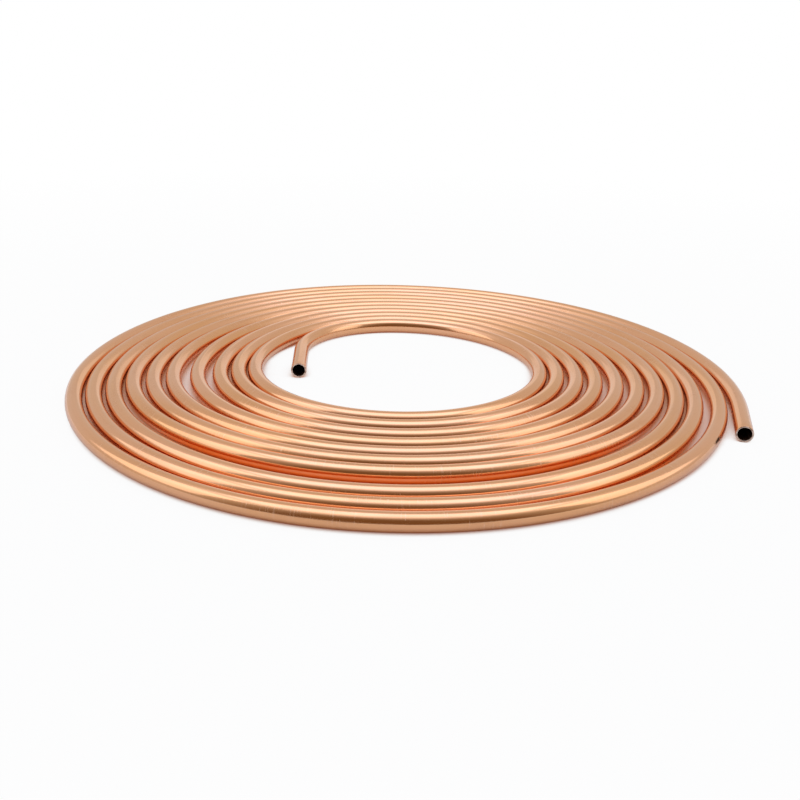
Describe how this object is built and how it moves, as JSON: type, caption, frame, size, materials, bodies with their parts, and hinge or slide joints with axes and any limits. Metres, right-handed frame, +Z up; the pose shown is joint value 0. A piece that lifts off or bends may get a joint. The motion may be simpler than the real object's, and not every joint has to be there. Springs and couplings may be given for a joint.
{
  "type": "copper tube coil",
  "caption": "Flat loose coil of bare soft copper tube, wound as an open spiral around a wide eye, with both cut ends open for fittings.",
  "frame": {"origin": "middle of the coil's outline in plan, on the floor that the tube lies on", "axes": "+X across the coil to the side of the outer end, +Y from the open front of the coil to its tight back, +Z up, normal to the plane of the coil"},
  "size_m": [0.42, 0.4218, 0.01],
  "materials": {
    "copper": "bare drawn copper, bright satin"
  },
  "bodies": {
    "root": {"copper_tube": "copper"}
  },
  "joints": []
}
